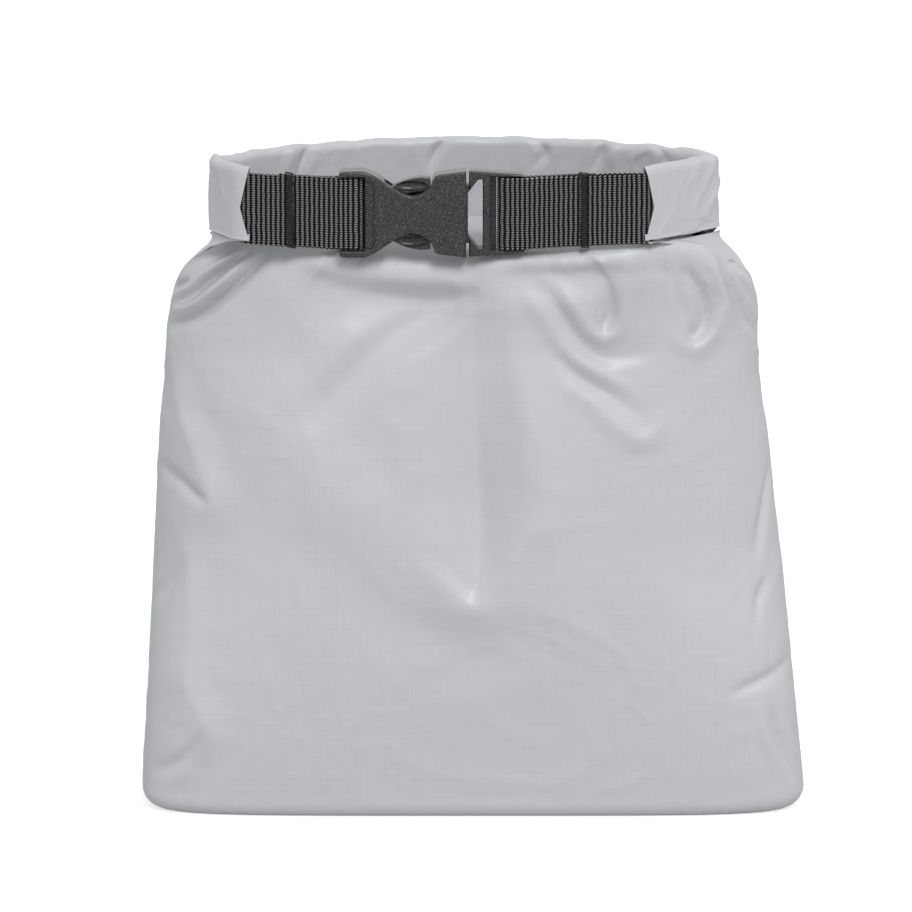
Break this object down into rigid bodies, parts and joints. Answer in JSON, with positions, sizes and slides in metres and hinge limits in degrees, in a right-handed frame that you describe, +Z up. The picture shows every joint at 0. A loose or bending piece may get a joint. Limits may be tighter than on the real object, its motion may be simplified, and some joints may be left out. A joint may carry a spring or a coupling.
{
  "type": "roll-top dry bag",
  "caption": "Roll-top dry bag of coated ripstop fabric, with its mouth rolled into a ring and closed by webbing and a side-release buckle.",
  "frame": {"origin": "on the ground, under the middle of the overall box", "axes": "+Z up, -Y towards the front, where the buckle is, +X to the right as seen from the front"},
  "size_m": [0.231, 0.0742, 0.2313],
  "materials": {
    "ripstop_fabric": "light grey coated ripstop, soft sheen",
    "webbing": "black ribbed woven webbing",
    "thread": "black sewing thread",
    "buckle_plastic": "black, fine spark-eroded texture",
    "seam_tape": "translucent heat-sealed tape"
  },
  "bodies": {
    "bag": {"front_panel": "ripstop_fabric", "back_panel": "ripstop_fabric", "base_panel": "ripstop_fabric", "base_seam_tape": "seam_tape", "left_side_seam_tape": "seam_tape", "right_side_seam_tape": "seam_tape", "rolled_mouth_back": "ripstop_fabric", "rim_webbing": "webbing"},
    "left_arm": {"rolled_mouth_left": "ripstop_fabric", "left_webbing": "webbing", "left_bartack": "thread"},
    "right_arm": {"rolled_mouth_right": "ripstop_fabric", "right_webbing": "webbing", "right_bartack": "thread"},
    "socket": {"buckle_socket": "buckle_plastic"},
    "plug": {"buckle_plug": "buckle_plastic"},
    "upper_prong": {"upper_prong": "buckle_plastic"},
    "lower_prong": {"lower_prong": "buckle_plastic"}
  },
  "joints": [
    {"name": "left_arm_swing", "type": "hinge", "parent": "bag", "child": "left_arm", "pos_m": [-0.0906, -0.012, 0.2168], "axis": [0, 0, -1], "range_deg": [0, 70], "deforming": ["upper_prong", "lower_prong"]},
    {"name": "right_arm_swing", "type": "hinge", "parent": "bag", "child": "right_arm", "pos_m": [0.0864, -0.007, 0.2168], "axis": [0, 0, 1], "range_deg": [0, 44]},
    {"name": "socket_swivel", "type": "hinge", "parent": "left_arm", "child": "socket", "pos_m": [-0.0406, -0.031, 0.215], "axis": [0, 0, 1], "range_deg": [0, 70]},
    {"name": "plug_swivel", "type": "hinge", "parent": "right_arm", "child": "plug", "pos_m": [0.0115, -0.031, 0.215], "axis": [0, 0, -1], "range_deg": [0, 44]},
    {"name": "upper_prong_squeeze", "type": "hinge", "parent": "plug", "child": "upper_prong", "pos_m": [-0.00515, -0.031, 0.2226], "axis": [0, -1, 0], "range_deg": [0, 11], "stiffness_Nm_per_rad": 0.3},
    {"name": "lower_prong_squeeze", "type": "hinge", "parent": "plug", "child": "lower_prong", "pos_m": [-0.00515, -0.031, 0.2074], "axis": [0, 1, 0], "range_deg": [0, 11], "stiffness_Nm_per_rad": 0.3}
  ],
  "couplings": [
    {"joint": "right_arm_swing", "follows": "left_arm_swing", "ratio": 0.627},
    {"joint": "socket_swivel", "follows": "left_arm_swing", "ratio": 1},
    {"joint": "plug_swivel", "follows": "left_arm_swing", "ratio": 0.627}
  ]
}
